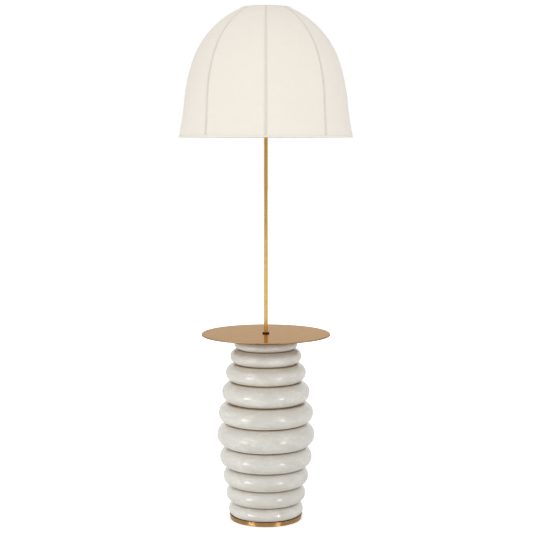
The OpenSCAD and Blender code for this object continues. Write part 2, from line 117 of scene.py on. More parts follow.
def add(tree, kind, links=None, **settings):
    """Adds a node of a kind. Settings are its properties, links wire its inputs."""
    node = tree.nodes.new(kind)
    for name, value in settings.items():
        setattr(node, name, value)
    wire(tree, node, links or {})
    return node


print("white is", srgb("#FFFFFF")[:3])

# %% [markdown]
# ## The lights
#
# A glaze shows every light as a highlight, and where the highlight sits on a round ring
# tells where the light stood. On the real rings each has a pair, low on the roll, so a
# column of soft boxes stands low and close on either side of the camera's line. A grid
# narrows their beams to the front of the rings, which keeps glare off the other sides,
# and they show only in gloss, so that they don't bleach the clay. The lowest is a thin
# strip for the rolled edge of the foot. A dim box without a grid, above the column,
# brightens the pole.
#
# The fills light only what is matte, from the sides, from low in front, from above the
# camera and from behind, at a level where a colour renders about as it is written.

# %% Set up the lights
WARM, CREAM, WHITE = "#FFF6EC", "#FFFBE8", "#FFFFFF"


def soft_box(name, place, aim, size, radiance, grid=180, matte=True, gloss=True, tint=WHITE):
    """An area light at place, turned to aim, whose surface has the given radiance straight
    ahead. A grid narrows its beam to an angle in degrees. It may light only the matte
    part of a surface, or show only in its gloss."""
    light = bpy.data.lights.new(name, "AREA")
    light.shape = "RECTANGLE"
    light.size, light.size_y = size
    light.spread = math.radians(grid)
    half = light.spread / 2
    light.energy = radiance * math.pi * size[0] * size[1] * (1 - half / math.tan(half))
    light.color = srgb(tint)[:3]
    lamp = put(name, light)
    lamp.location = place
    lamp.rotation_euler = (Vector(place) - Vector(aim)).to_track_quat("Z", "Y").to_euler()
    lamp.visible_camera = False
    lamp.visible_diffuse = matte
    lamp.visible_glossy = gloss


for side, (x, y), (aim_x, aim_y), wide in (("left", (-0.425, -0.5), (-0.02, -0.206), 0.27),
                                           ("right", (0.375, -0.55), (0.01, -0.21), 0.16)):
    for part, z, up, high, bright in (("low", 0.15, -0.03, 0.26, 8.6),
                                      ("middle", 0.36, 0.05, 0.16, 7.6),
                                      ("upper", 0.42, 0.14, 0.1, 6.0)):
        soft_box(f"{part}_box_{side}", (x, y, z), (aim_x, aim_y, z + up), (wide, high), bright,
                 grid=46, matte=False, tint=WARM)
    soft_box(f"foot_box_{side}", (x, y, 0.035), (aim_x * 2.5, -0.11, 0), (wide, 0.04), 23.0,
             grid=32, matte=False, tint=CREAM)
    soft_box(f"high_box_{side}", (x, y, 0.68), (0, 0, 0.68), (wide, 0.44), 1.0)

for name, place, aim, size, bright, grid in (
        ("side_fill_left", (-0.95, -0.2, 0.15), (0, 0, 0.22), (0.5, 0.26), 3.6, 180),
        ("side_fill_right", (0.95, -0.2, 0.15), (0, 0, 0.22), (0.5, 0.26), 1.5, 180),
        ("low_fill", (0, -1.2, 0.16), (0, 0, 0.25), (0.9, 0.26), 1.3, 180),
        ("front_fill", (0.2, -3.4, 2.5), (0, 0, 1.3), (2.2, 1.4), 3.4, 180),
        ("shade_fill_left", (-1.2, 0.1, 1.5), (0, 0, 1.48), (0.5, 0.4), 0.8, 100),
        ("shade_fill_right", (1.2, 0.1, 1.5), (0, 0, 1.48), (0.5, 0.4), 1.3, 100),
        ("back_fill", (0.4, 3.4, 1.6), (0, 0, 0.9), (2.2, 1.4), 2.4, 180)):
    soft_box(name, place, aim, size, bright, grid=grid, gloss=False)
print(len(bpy.data.lights), "soft lights")

# %% [markdown]
# ## The room
#
# The world is what the lamp sees past the lights. It could be one plain grey, but brass
# is only as interesting as what it mirrors. So matte surfaces get an even room that is
# brighter at its sides, and the camera, a reflection or a glass gets a plain white
# backdrop. Only the low front of the room, where the photographer stands, is dim in
# reflections, which gives brass its dark core.

# %% Paint the room
DIM, BACKDROP = 0.36, 1.0
ROOM_LEVEL, SIDES_ADD, RIGHT_ADDS = 0.58, 0.54, -0.09  # the right is a little dimmer than the left

world = bpy.data.worlds.new("studio")
bpy.context.scene.world = world
world.use_nodes = True
sky = world.node_tree
rays = add(sky, "ShaderNodeLightPath")
way = add(sky, SPLIT, {0: add(sky, PLACE).outputs["Generated"]})
behind, above = (add(sky, RANGE, {"Value": way.outputs[axis], "From Min": start, "From Max": end,
                     "To Min": DIM, "To Max": BACKDROP}, interpolation_type="SMOOTHSTEP")
                 for axis, start, end in (("Y", -0.25, 0.15), ("Z", 0.02, 0.3)))
backdrop = add(sky, MATH, {0: behind, 1: above}, operation="MAXIMUM")
squared = add(sky, MATH, {0: way.outputs["X"], 1: way.outputs["X"]}, operation="MULTIPLY")
sides = add(sky, MATH, {0: squared, 1: SIDES_ADD, 2: ROOM_LEVEL}, operation="MULTIPLY_ADD")
room = add(sky, MATH, {0: way.outputs["X"], 1: RIGHT_ADDS, 2: sides}, operation="MULTIPLY_ADD")
mirrored = add(sky, MATH, {0: rays.outputs["Is Glossy Ray"], 1: rays.outputs["Is Transmission Ray"]},
               operation="MAXIMUM")
seen = add(sky, MIX, {"Factor": mirrored, "A": room, "B": backdrop})
level = add(sky, MATH, {0: seen, 1: rays.outputs["Is Camera Ray"]}, operation="MAXIMUM")
wire(sky, sky.nodes["Background"], {"Color": (1, 1, 1, 1), "Strength": level})
print("nodes in the room:", len(sky.nodes))

# %% [markdown]
# ## The floor
#
# The floor has to look as white as the backdrop and still take the lamp's shadow. It is
# matte white, with some light of its own added where the camera looks at it, so that
# only the shade round the foot falls below white. Farther out the added light takes
# over, and floor and backdrop meet without a line. Metal and glass see a little of the
# added light as well, which with the floor's own white makes it about as bright to them.

# %% Lay the floor
FLOOR_HALF = 30
GLOW_NEAR, GLOW_FAR, GLOW_IN_METAL = 0.42, 1.0, 0.1

floor_mesh = bpy.data.meshes.new("floor")
corners = [(x * FLOOR_HALF, y * FLOOR_HALF, 0) for x, y in ((-1, -1), (1, -1), (1, 1), (-1, 1))]
floor_mesh.from_pydata(corners, [], [(0, 1, 2, 3)])
floor = put("floor", floor_mesh)

# Painted studio floor: matte white, with no gloss to double the lamp.
paint = bpy.data.materials.new("matte_white_floor_paint")
paint.use_nodes = True
tree = paint.node_tree
tree.nodes.remove(tree.nodes["Principled BSDF"])
away = add(tree, VECTOR, {0: add(tree, PLACE).outputs["Object"]}, operation="LENGTH")
glow = add(tree, RANGE, {"Value": away.outputs["Value"], "From Min": 0.2, "From Max": 1.0,
           "To Min": GLOW_NEAR, "To Max": GLOW_FAR}, interpolation_type="SMOOTHSTEP")
rays = add(tree, "ShaderNodeLightPath")
other = add(tree, MATH, {0: rays.outputs["Is Glossy Ray"], 1: rays.outputs["Is Transmission Ray"]},
            operation="MAXIMUM")
looks = add(tree, MATH, {0: other, 1: GLOW_IN_METAL, 2: rays.outputs["Is Camera Ray"]},
            operation="MULTIPLY_ADD")
shown = add(tree, MATH, {0: glow, 1: looks}, operation="MULTIPLY")
own = add(tree, "ShaderNodeEmission", {"Strength": shown})
matte = add(tree, "ShaderNodeBsdfDiffuse", {"Color": srgb("#EDEDED")})
both = add(tree, "ShaderNodeAddShader", {0: own, 1: matte})
wire(tree, tree.nodes["Material Output"], {"Surface": both})
floor_mesh.materials.append(paint)
print("floor laid at z =", floor.location.z)

# %% [markdown]
# ## Helpers for finishes
#
# Every finish on the lamp is one Principled shader. What is the same all over a surface
# is a number on that shader, and what changes from place to place comes from noise. One
# function makes the noise in real sizes, so that clouds of 60 mm look 60 mm across, and
# another gives a surface two tones and a relief from one pattern.

# %% Write the finish helpers
def finish(name, surface):
    """A material whose Principled shader has these constant inputs, with its node tree."""
    made = bpy.data.materials.new(name)
    made.use_nodes = True
    shader = made.node_tree.nodes["Principled BSDF"]
    wire(made.node_tree, shader, surface)
    return made, made.node_tree, shader


def cloud(tree, place, size, low, high, detail=4.0, rough=0.55, squeeze=(1, 1, 1), warp=0.0):
    """Noise with features about `size` metres across, from 0 below low to 1 above high."""
    spread = add(tree, "ShaderNodeMapping", {"Vector": place, "Scale": squeeze})
    noise = add(tree, "ShaderNodeTexNoise", {"Vector": spread, "Scale": 1 / size,
                "Detail": detail, "Roughness": rough, "Distortion": warp})
    return add(tree, RANGE, {"Value": noise, "From Min": low, "From Max": high})


def two_tones(tree, shader, pattern, low, high, depth):
    """Where a pattern goes from 0 to 1, the colour goes from low to high and the surface
    rises by depth metres."""
    colour = add(tree, MIX, {"Factor": pattern, "A": srgb(low), "B": srgb(high)}, data_type="RGBA")
    raised = add(tree, BUMP, {"Height": pattern, "Distance": depth})
    wire(tree, shader, {"Base Color": colour, "Normal": raised})


print("clouds of 60 mm are noise of scale", round(1 / (60 * MM), 1))

# %% [markdown]
# ## Glazed clay
#
# The rings are stoneware under an off-white glaze. A glaze thins as it melts: it is cloudy,
# streaked sideways by the wheel, and it burns brown where it thins against a seat. The
# clouds are noise squeezed in height. Shade is painted on the upper side of each roll as a
# greyer tone, and light is painted under the roll as a whiter tone. Attributes that each
# ring's own mesh carries say where the seat, the painted shade and the painted light are.

# %% Mix the glaze
# Fired glaze over stoneware: a clear glassy coat on a cloudy body, so highlights are
# small and crisp while the colour under them stays soft.
glaze, tree, shader = finish("glazed_stoneware", {"IOR": 1.5, "Specular IOR Level": 0.1,
                             "Coat Weight": 1.0, "Coat IOR": 1.52, "Coat Roughness": 0.07})
place = add(tree, PLACE).outputs["Object"]
clouds = cloud(tree, place, 60 * MM, 0.36, 0.64, 5, 0.6, (1, 1, 2.2), 0.6)
streaks = cloud(tree, place, 15 * MM, 0.34, 0.68, 5, 0.7, (1, 1, 3.2), 0.8)
pits = cloud(tree, place, 7 * MM, 0.2, 0.8, 3)
colour = add(tree, MIX, {"Factor": clouds, "A": srgb("#C7C4BC"), "B": srgb("#E1DED7")}, data_type="RGBA")
colour = add(tree, MIX, {"Factor": streaks, "A": srgb("#CAC7BF"), "B": colour}, data_type="RGBA")
# painted shade: a greyer tone on the roll's upper side; painted light: a whiter tone under the roll; the
# seat turns brown
for mark, strength, tone in (("shoulder", 0.22, "#9C9383"), ("painted_underside_light", 1.0, "#F3F0E8"),
                             ("seat", 0.85, "#A08458")):
    where = add(tree, "ShaderNodeAttribute", attribute_name=mark).outputs["Fac"]
    share = add(tree, MATH, {0: where, 1: strength}, operation="MULTIPLY")
    colour = add(tree, MIX, {"Factor": share, "A": colour, "B": srgb(tone)}, data_type="RGBA")
wire(tree, shader, {
    "Base Color": colour,
    "Roughness": add(tree, RANGE, {"Value": streaks, "To Min": 0.3, "To Max": 0.42}),
    "Normal": add(tree, BUMP, {"Height": pits, "Distance": 0.07 * MM})})
print("nodes in the glaze:", len(tree.nodes))

# %% [markdown]
# ## A rule that throws a ring
#
# All ten rings follow one rule: a flat-topped disc whose rim is one round roll, as high
# as the ring. Modelling ten by hand would be slow and uneven. A Geometry Nodes tree takes
# the radius, the height and the seat, bends a flat grid round the axis by formula, and
# adds the small waviness of a hand-finished pot, a different one for each seed.
#
# Across the grid, v runs once round the section: down the inside of the bore, out along
# the underside, round the roll and back in along the top.

# %% Start the ring rule
AROUND, ACROSS = 144, 60
BORE_END, UNDER_END, ROLL_END = 3 / ACROSS, 12 / ACROSS, 51 / ACROSS


def new_rule(name, inputs, output):
    """A Geometry Nodes tree with a socket for each input, and what its input node gives."""
    tree = bpy.data.node_groups.new(name, "GeometryNodeTree")
    for label, kind in inputs.items():
        tree.interface.new_socket(label, in_out="INPUT", socket_type="NodeSocket" + kind)
    tree.interface.new_socket(output, in_out="OUTPUT", socket_type="NodeSocketGeometry")
    return tree, add(tree, "NodeGroupInput").outputs


rule, given = new_rule("ring_rule", {"Radius": "Float", "Height": "Float", "Cut": "Float",
                       "Seat": "Float", "Bore": "Float", "Waviness": "Float", "Seed": "Float",
                       "Finish": "Material"}, "Ring")
grid = add(rule, "GeometryNodeMeshGrid", {"Size X": 1.0, "Size Y": 1.0, "Vertices X": AROUND + 1,
           "Vertices Y": ACROSS + 1})
cell = add(rule, SPLIT, {0: add(rule, "GeometryNodeInputPosition")})
u, v = (add(rule, MATH, {0: cell.outputs[axis], 1: 0.5}, operation="ADD") for axis in "XY")
print("a ring's grid has", AROUND, "by", ACROSS, "cells")

# %% [markdown]
# ## The roll, as arithmetic
#
# A roll is half a circle, so its section is a sine and a cosine of one angle, the slope.
# It says which way the surface faces: straight down at the underside, level at the
# widest place, straight up on top. The lowest ring is cut off flat below, so its slope
# starts later.

# %% Bend the section
whole = add(rule, MATH, {0: given["Height"], 1: given["Cut"]}, operation="ADD")
roll = add(rule, MATH, {0: whole, 1: 0.5}, operation="MULTIPLY")
reach = add(rule, MATH, {0: given["Radius"], 1: roll}, operation="SUBTRACT")
cut_share = add(rule, MATH, {0: given["Cut"], 1: roll}, operation="DIVIDE")
low_sine = add(rule, MATH, {0: cut_share, 1: 1.0}, operation="SUBTRACT")
low = add(rule, MATH, {0: low_sine}, operation="ARCSINE")
slope = add(rule, RANGE, {"Value": v, "From Min": UNDER_END, "From Max": ROLL_END, "To Min": low,
            "To Max": math.pi / 2})
sine, cosine = (add(rule, MATH, {0: slope}, operation=word) for word in ("SINE", "COSINE"))
in_bore, in_under, in_top = (add(rule, RANGE, {"Value": v, "From Min": start, "From Max": end})
                             for start, end in ((0.0, BORE_END), (BORE_END, UNDER_END), (ROLL_END, 1.0)))
out = add(rule, MATH, {0: roll, 1: cosine, 2: reach}, operation="MULTIPLY_ADD")
out = add(rule, MIX, {"Factor": in_under, "A": given["Bore"], "B": out})
out = add(rule, MIX, {"Factor": in_top, "A": out, "B": given["Bore"]})
centre = add(rule, MATH, {0: roll, 1: given["Cut"]}, operation="SUBTRACT")
up = add(rule, MATH, {0: roll, 1: sine, 2: centre}, operation="MULTIPLY_ADD")
up = add(rule, MIX, {"Factor": in_bore, "A": given["Height"], "B": up})
up = add(rule, MATH, {0: up, 1: given["Seat"]}, operation="ADD")
turn = add(rule, MATH, {0: u, 1: 2 * math.pi}, operation="MULTIPLY")
east, north = (add(rule, MATH, {0: turn}, operation=word) for word in ("COSINE", "SINE"))
x, y = (add(rule, MATH, {0: out, 1: share}, operation="MULTIPLY") for share in (east, north))
spun = add(rule, MERGE, {"X": x, "Y": y, "Z": up})
print("nodes so far:", len(rule.nodes))

# %% [markdown]
# ## Where the glaze changes, and the waviness
#
# The glaze needs the seat, the painted shade on top and the painted light under the roll;
# the slope says where they are, so they are stored on the grid while it is still flat. Moved
# first, the grid would give the formulas new places and spoil them. Noise then pushes the
# roll in and out along its normal, and leaves the seats alone, which carry the next ring.

# %% Finish the ring rule
# slopes in degrees: the seat above and below, the painted shade on the upper side, the painted light under
# the roll
MARKS = {"above": (66, 80), "below": (-74, -81), "shoulder": (0, 55), "painted_underside_light": (-40, -75)}
WAVES_A_METRE, SLACK = 9.0, 0.001

rim = add(rule, MATH, {0: v, 1: (UNDER_END + ROLL_END) / 2, 2: (ROLL_END - UNDER_END) / 2 + SLACK},
          operation="COMPARE")
mark = {word: add(rule, RANGE, {"Value": slope, "From Min": math.radians(start),
                  "From Max": math.radians(end)}, interpolation_type="SMOOTHSTEP")
        for word, (start, end) in MARKS.items()}
seats = add(rule, MATH, {0: mark["above"], 1: mark["below"]}, operation="MAXIMUM")
seat = add(rule, MATH, {0: seats, 1: rim}, operation="MULTIPLY")
free = add(rule, MATH, {0: cosine, 1: rim}, operation="MULTIPLY")
shape = add(rule, "GeometryNodeSetShadeSmooth", {"Geometry": grid, "Selection": rim})
for name, value in (("seat", seat), ("shoulder", mark["shoulder"]), ("painted_underside_light", mark["painted_underside_light"]), ("free", free)):
    shape = add(rule, "GeometryNodeStoreNamedAttribute", {"Geometry": shape, "Name": name,
                "Value": value}, data_type="FLOAT", domain="POINT")
shape = add(rule, "GeometryNodeSetPosition", {"Geometry": shape, "Position": spun})
shape = add(rule, "GeometryNodeMergeByDistance", {"Geometry": shape, "Distance": 0.01 * MM})
wave = add(rule, "ShaderNodeTexNoise", {"W": given["Seed"], "Scale": WAVES_A_METRE, "Detail": 1.0},
           noise_dimensions="4D")
free = add(rule, "GeometryNodeInputNamedAttribute", {"Name": "free"}, data_type="FLOAT")
wave = add(rule, MATH, {0: wave, 1: 0.5}, operation="SUBTRACT")
free = add(rule, MATH, {0: free, 1: 2.0}, operation="MULTIPLY")
depth = add(rule, MATH, {0: given["Waviness"], 1: free}, operation="MULTIPLY")
swell = add(rule, MATH, {0: wave, 1: depth}, operation="MULTIPLY")
push = add(rule, VECTOR, {0: add(rule, "GeometryNodeInputNormal"), "Scale": swell},
           operation="SCALE")
shape = add(rule, "GeometryNodeSetPosition", {"Geometry": shape, "Offset": push})
shape = add(rule, "GeometryNodeRealizeInstances", {0: shape})
shape = add(rule, "GeometryNodeSetMaterial", {"Geometry": shape, "Material": given["Finish"]})
add(rule, "NodeGroupOutput", {"Ring": shape})
print("nodes in the ring rule:", len(rule.nodes))

# %% [markdown]
# ## Ten rings from the rule
#
# A tree on a modifier stays live. The lamp needs plain meshes, so each ring's tree runs
# once, the result is kept as a mesh of its own, and the modifier goes. Radius, height
# and seat of each ring come from its CAD node's box.

# %% Throw the rings
def grown(tree, name, values, start=None):
    """Runs a Geometry Nodes tree once on a start mesh and keeps the result as a plain mesh."""
    piece = put(name, start or bpy.data.meshes.new(name + "_start"))
    run = piece.modifiers.new("rule", "NODES")
    run.node_group = tree
    for item in tree.interface.items_tree:
        if item.item_type == "SOCKET" and item.in_out == "INPUT" and item.name in values:
            run[item.identifier] = values[item.name]
    view = bpy.context.evaluated_depsgraph_get()
    result = bpy.data.meshes.new_from_object(piece.evaluated_get(view))
    piece.modifiers.clear()
    piece.data = result
    result.name = name
    return piece


def belongs(piece, body, slot, *nodes):
    """The piece moves with a body and stands for CAD nodes, which are hidden. The slot is not used."""
    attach(piece, body)
    if nodes:
        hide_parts(*nodes)


LOWEST_CUT, ROD_BORE, UNEVEN, SEED_STEP = 10 * MM, 5.5 * MM, 0.7 * MM, 3.7
for number in range(1, 11):
    node = f"ring_{number:02d}"
    low_corner, high_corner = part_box(node)
    ring = grown(rule, f"glazed_{node}", {
        "Radius": high_corner.x, "Height": high_corner.z - low_corner.z, "Seat": low_corner.z,
        "Cut": LOWEST_CUT if number == 1 else 0.0, "Bore": ROD_BORE, "Waviness": UNEVEN,
        "Seed": SEED_STEP * number, "Finish": glaze})
    belongs(ring, "base", "ivory_glaze", node)
    print(ring.name, len(ring.data.polygons), "faces")

# %% [markdown]
# ## The line of the shade
#
# The dome is one line turned round the axis: three arcs that run into one another, from
# the crown over the shoulder down to the flared hem. Everything on the shade follows it,
# so it is written once, as a function that says where a point lies for a length along
# the line.

# %% Write the shade's line
GORES = 8
TOP_RADIUS, TOP_HEIGHT, TOP_SLOPE = 78 * MM, 1705.5 * MM, math.radians(-22.7)
ARCS = [(289 * MM, math.radians(48.9)), (589 * MM, math.radians(12.8)), (-1007 * MM, math.radians(6.8))]
LINE_LENGTH = sum(abs(radius) * angle for radius, angle in ARCS)


def line_at(along):
    """Radius, height and heading of the line at a length from the top edge. A length
    before the start or past the end follows the line straight on."""
    r, z, heading = TOP_RADIUS, TOP_HEIGHT, TOP_SLOPE
    left = along
    for radius, angle in ARCS:
        part = max(0.0, min(left, abs(radius) * angle))
        ahead = heading - part / radius
        r += radius * (math.sin(heading) - math.sin(ahead))
        z += radius * (math.cos(ahead) - math.cos(heading))
        heading = ahead
        left -= part
    stray = min(along, 0.0) + max(along - LINE_LENGTH, 0.0)
    return r + stray * math.cos(heading), z + stray * math.sin(heading), heading


hem = line_at(LINE_LENGTH)
print(f"line {LINE_LENGTH / MM:.1f} mm long, hem at radius {hem[0] / MM:.1f}, height {hem[1] / MM:.1f} mm")

# %% [markdown]
# ## Cloth between ribs
#
# Cloth pulled tight over ribs lies flatter between them than on them, so the function
# for a point on the cloth takes a little off the radius there. The seams run straight
# down the ribs, apart from the four at the corners, which lean a little towards the
# front and the back near the hem.

# %% Stretch the cloth
FLATTER, SEAM_DRIFT = 0.28, math.radians(3.3)
DRIFT_START, FLAT_END = 0.45, 0.85


def seam_turn(number, along):
    """Where seam 0 to 7 runs round the axis, from the front."""
    lean = max(0.0, along / LINE_LENGTH - DRIFT_START) / (1 - DRIFT_START)
    drift = (0, -1, 0, 1)[number % 4] * SEAM_DRIFT * lean ** 2
    return math.radians(45 * number - 90) + drift


def cloth_point(along, turn, lift=0.0):
    """A point on the cloth's outer face, or raised off it by lift."""
    r, z, heading = line_at(along)
    half = math.pi / GORES
    off = (turn + math.radians(90)) % (2 * half) - half
    share = FLATTER * math.sin(math.pi * min(1.0, max(0.0, along / (FLAT_END * LINE_LENGTH))))
    r *= 1 - share + share * math.cos(half) / math.cos(off)
    r -= lift * math.sin(heading)
    z += lift * math.cos(heading)
    return r * math.cos(turn), r * math.sin(turn), z


on_rib, between = (math.hypot(*cloth_point(LINE_LENGTH / 2, math.radians(turn))[:2])
                   for turn in (-90, -67.5))
print("between ribs the cloth lies", round((on_rib - between) / MM, 1), "mm farther in")

# %% [markdown]
# ## Linen and its lining
#
# The cloth is an off-white plain-weave linen, made up over a white lining. Linen yarn is
# uneven, so the weave has slubs, short thick stretches that run along the threads and
# catch the light. The pattern sits on the UV map, which is laid out in metres along each
# gore's own threads. One thread is about 0.7 mm, too fine to show from across the room,
# so the slubs are drawn a few threads wide, and they carry the weave in a far view.

# %% Weave the linen
THREAD, LINING_THREAD, SLUB = 0.7 * MM, 0.5 * MM, 3 * MM
WAVE_STEP = 0.31416  # a wave texture of this scale over a spacing repeats once per spacing


def weave(tree, uv, spacing):
    """Plain weave: threads both ways, over and under by turns. 1 is a thread's top."""
    warp, weft = (add(tree, "ShaderNodeTexWave", {"Vector": uv, "Scale": WAVE_STEP / spacing},
                  bands_direction=axis) for axis in "XY")
    over = add(tree, "ShaderNodeTexChecker", {"Vector": uv, "Scale": 1 / spacing})
    return add(tree, MIX, {"Factor": over.outputs["Fac"], "A": warp.outputs["Fac"],
               "B": weft.outputs["Fac"]})


# Washed linen: matte, with a faint sheen from its fibres and a warm off-white yarn, with
# shade painted darker into the gaps between threads.
linen, tree, shader = finish("offwhite_linen_weave", {"Roughness": 0.85, "Sheen Weight": 0.12,
                             "Sheen Roughness": 0.5, "Specular IOR Level": 0.25})
uv = add(tree, "ShaderNodeUVMap", uv_map="threads")
threads = weave(tree, uv, THREAD)
weft_slubs = cloud(tree, uv, SLUB, 0.35, 0.75, 3, 0.6, (0.06, 1, 1))
warp_slubs = cloud(tree, uv, SLUB, 0.35, 0.75, 3, 0.6, (1, 0.04, 1))
slubs = add(tree, MATH, {0: weft_slubs, 1: warp_slubs}, operation="MAXIMUM")
yarn = add(tree, MIX, {"Factor": slubs, "A": srgb("#F5EEE3"), "B": srgb("#FAF4EA")}, data_type="RGBA")
# painted shade: the yarn's colour darkens from the top of a thread into the gaps
gap_shade = add(tree, RANGE, {"Value": threads, "To Min": 0.75})
colour = add(tree, MIX, {"Factor": gap_shade, "A": srgb("#EAE1D3"), "B": yarn}, data_type="RGBA")
height = add(tree, MATH, {0: threads, 1: slubs}, operation="ADD")
wire(tree, shader, {"Base Color": colour,
                    "Normal": add(tree, BUMP, {"Height": height, "Distance": 0.08 * MM})})

# Close white cotton: smoother and cooler than the linen, and seen only from below.
lining, tree, shader = finish("white_cotton_lining", {"Roughness": 0.7, "Sheen Weight": 0.05})
uv = add(tree, "ShaderNodeUVMap", uv_map="threads")
# painted shade: the gaps between threads are darker than the thread tops
two_tones(tree, shader, weave(tree, uv, LINING_THREAD), "#EDEAE3", "#F7F5F0", 0.03 * MM)
print("threads every", THREAD / MM, "mm, in the lining", LINING_THREAD / MM, "mm")

# %% [markdown]
# ## Eight gores
#
# Each gore is one cut of cloth between two seams, as real shade makers cut it. It could
# be a surface with a Solidify modifier. Here one function lays both faces, so the wall
# is as thick as the CAD one, and each point keeps its place on the flat cloth.

# %% Lay out a gore
ACROSS_GORE, ALONG_GORE = 22, 72
CLOTH, EDGE_GAP = 1 * MM, 0.15 * MM


def piece_from(name, points, flat, faces, *finishes):
    """A new mesh piece with its finishes. Flat gives each point's place on the cut cloth."""
    mesh = bpy.data.meshes.new(name)
    mesh.from_pydata(points, [], faces)
    mesh.validate()
    piece = put(name, mesh)
    for made in finishes:
        mesh.materials.append(made)
    layer = mesh.uv_layers.new(name="threads")
    for loop in mesh.loops:
        layer.data[loop.index].uv = flat[loop.vertex_index]
    return piece


def gore_points(number, lift):
    """One face of a gore, row by row from the crown to the hem, with its flat layout."""
    points, flat = [], []
    for row in range(ALONG_GORE + 1):
        along = LINE_LENGTH * row / ALONG_GORE
        radius = line_at(along)[0]
        first, last = seam_turn(number, along), seam_turn(number + 1, along)
        first, last = first + EDGE_GAP / radius, last - EDGE_GAP / radius
        for column in range(ACROSS_GORE + 1):
            share = column / ACROSS_GORE
            points.append(cloth_point(along, first + (last - first) * share, lift))
            flat.append(((share - 0.5) * (last - first) * radius, along))
    return points, flat


print(len(gore_points(0, 0.0)[0]), "points on each face of a gore")

# %% [markdown]
# ## From two faces to a sheet
#
# The outer face is linen and the inner one lining. A rim of narrow faces joins them
# round the edge, and it is shaded flat, so the cut edge looks cut.

# %% Cut the gores
def gore_piece(number):
    """A closed sheet of linen and lining between seam number and the next."""
    outer, flat = gore_points(number, 0.0)
    inner, _ = gore_points(number, -CLOTH)
    wide, count = ACROSS_GORE + 1, len(outer)
    faces = []
    for row in range(ALONG_GORE):
        for column in range(ACROSS_GORE):
            a = row * wide + column
            faces.append((a, a + wide, a + wide + 1, a + 1))
    faces += [tuple(count + corner for corner in reversed(face)) for face in faces]
    rim = [*range(0, count, wide), *range(count - wide + 1, count),
           *range(count - wide - 1, 0, -wide), *range(wide - 2, 0, -1)]
    for a, b in zip(rim, rim[1:] + rim[:1]):
        faces.append((b, a, count + a, count + b))
    piece = piece_from(f"linen_gore_{number + 1}", outer + inner, flat * 2, faces, linen, lining)
    for face in piece.data.polygons:
        inside = all(corner >= count for corner in face.vertices)
        face.material_index = int(inside)
        face.use_smooth = inside or all(corner < count for corner in face.vertices)
    return piece


linen_gores = [gore_piece(number) for number in range(GORES)]
print(len(linen_gores), "gores,", len(linen_gores[0].data.polygons), "faces each")

# %% [markdown]
# ## Cotton tape
#
# A narrow woven tape covers each seam. Close up it has fine ribs across it, 1.2 mm
# apart. They could be modelled, but at this size a bump on the tape's UV map is enough,
# and shade is painted darker between the ribs.

# %% Weave the tape
TAPE_RIB = 1.2 * MM

# Woven cotton tape: matte, a shade greyer than the linen, lightly rubbed in patches.
tape, tree, shader = finish("woven_cotton_tape", {"Roughness": 0.8, "Sheen Weight": 0.1})
uv = add(tree, "ShaderNodeUVMap", uv_map="threads")
ribs = add(tree, "ShaderNodeTexWave", {"Vector": uv, "Scale": WAVE_STEP / TAPE_RIB},
           bands_direction="Y").outputs["Fac"]
worn = cloud(tree, uv, 9 * MM, 0.3, 0.7, 3)
colour = add(tree, MIX, {"Factor": worn, "A": srgb("#E8E4DB"), "B": srgb("#EFEBE3")}, data_type="RGBA")
# painted shade: the colour darkens between the ribs
gap_shade = add(tree, RANGE, {"Value": ribs, "To Min": 0.8})
colour = add(tree, MIX, {"Factor": gap_shade, "A": srgb("#DAD5CA"), "B": colour}, data_type="RGBA")
wire(tree, shader, {"Base Color": colour,
                    "Normal": add(tree, BUMP, {"Height": ribs, "Distance": 0.12 * MM})})
print("tape ribs every", TAPE_RIB / MM, "mm")

# %% [markdown]
# ## Tapes over the seams
#
# Each tape is a strip with a crowned section, laid on the cloth by the cloth's own
# function, so it follows the gores exactly. A curve with a bevel would do for a round
# cord, but a flat tape has to lie along curved cloth, so one helper sweeps a section
# over a row of stations. The felt and the bindings use it too.

# %% Lay the seam tapes
TAPE_WIDE, TAPE_THICK, TAPE_STEPS = 5 * MM, 0.8 * MM, 90
TRIM_WIDE, FACE_GAP = 6 * MM, 0.05 * MM


def swept(name, stations, section, closed, made, place, layout):
    """A solid strip: the section, a ring of corners, placed at every station along it."""
    points = [place(station, corner) for station in stations for corner in section]
    flat = [layout(station, corner) for station in stations for corner in section]
    ring, last = len(section), len(stations)
    faces = []
    for i in range(last if closed else last - 1):
        for k in range(ring):
            a, b = i * ring + k, i * ring + (k + 1) % ring
            step = ring if i < last - 1 else ring - last * ring
            faces.append((a, b, b + step, a + step))
    if not closed:
        faces.append(tuple(range(ring - 1, -1, -1)))
        faces.append(tuple((last - 1) * ring + k for k in range(ring)))
    piece = piece_from(name, points, flat, faces, made)
    piece.data.polygons.foreach_set("use_smooth", [len(f.vertices) == 4 for f in piece.data.polygons])
    return piece


half = TAPE_WIDE / 2
tape_section = [(-half, 0.0), (half, 0.0), (half * 0.98, 0.45), (half * 0.8, 0.8), (half * 0.4, 0.97),
                (-half * 0.4, 0.97), (-half * 0.8, 0.8), (-half * 0.98, 0.45)]
tape_start, tape_end = TRIM_WIDE + FACE_GAP, LINE_LENGTH - TRIM_WIDE - FACE_GAP
stations = [tape_start + (tape_end - tape_start) * i / TAPE_STEPS for i in range(TAPE_STEPS + 1)]
strips = []
for number in range(GORES):
    def place(along, corner, number=number):
        turn = seam_turn(number, along) + corner[0] / line_at(along)[0]
        return cloth_point(along, turn, FACE_GAP + TAPE_THICK * corner[1])
    strips.append(swept(f"strip_{number}", stations, tape_section, False, tape, place,
                        lambda along, corner: (corner[0], along)))
linen_tapes = strips[0]
with bpy.context.temp_override(active_object=linen_tapes, selected_editable_objects=strips):
    bpy.ops.object.join()
linen_tapes.name = linen_tapes.data.name = "tapes_over_seams"
print(len(strips), "tapes,", len(linen_tapes.data.polygons), "faces")

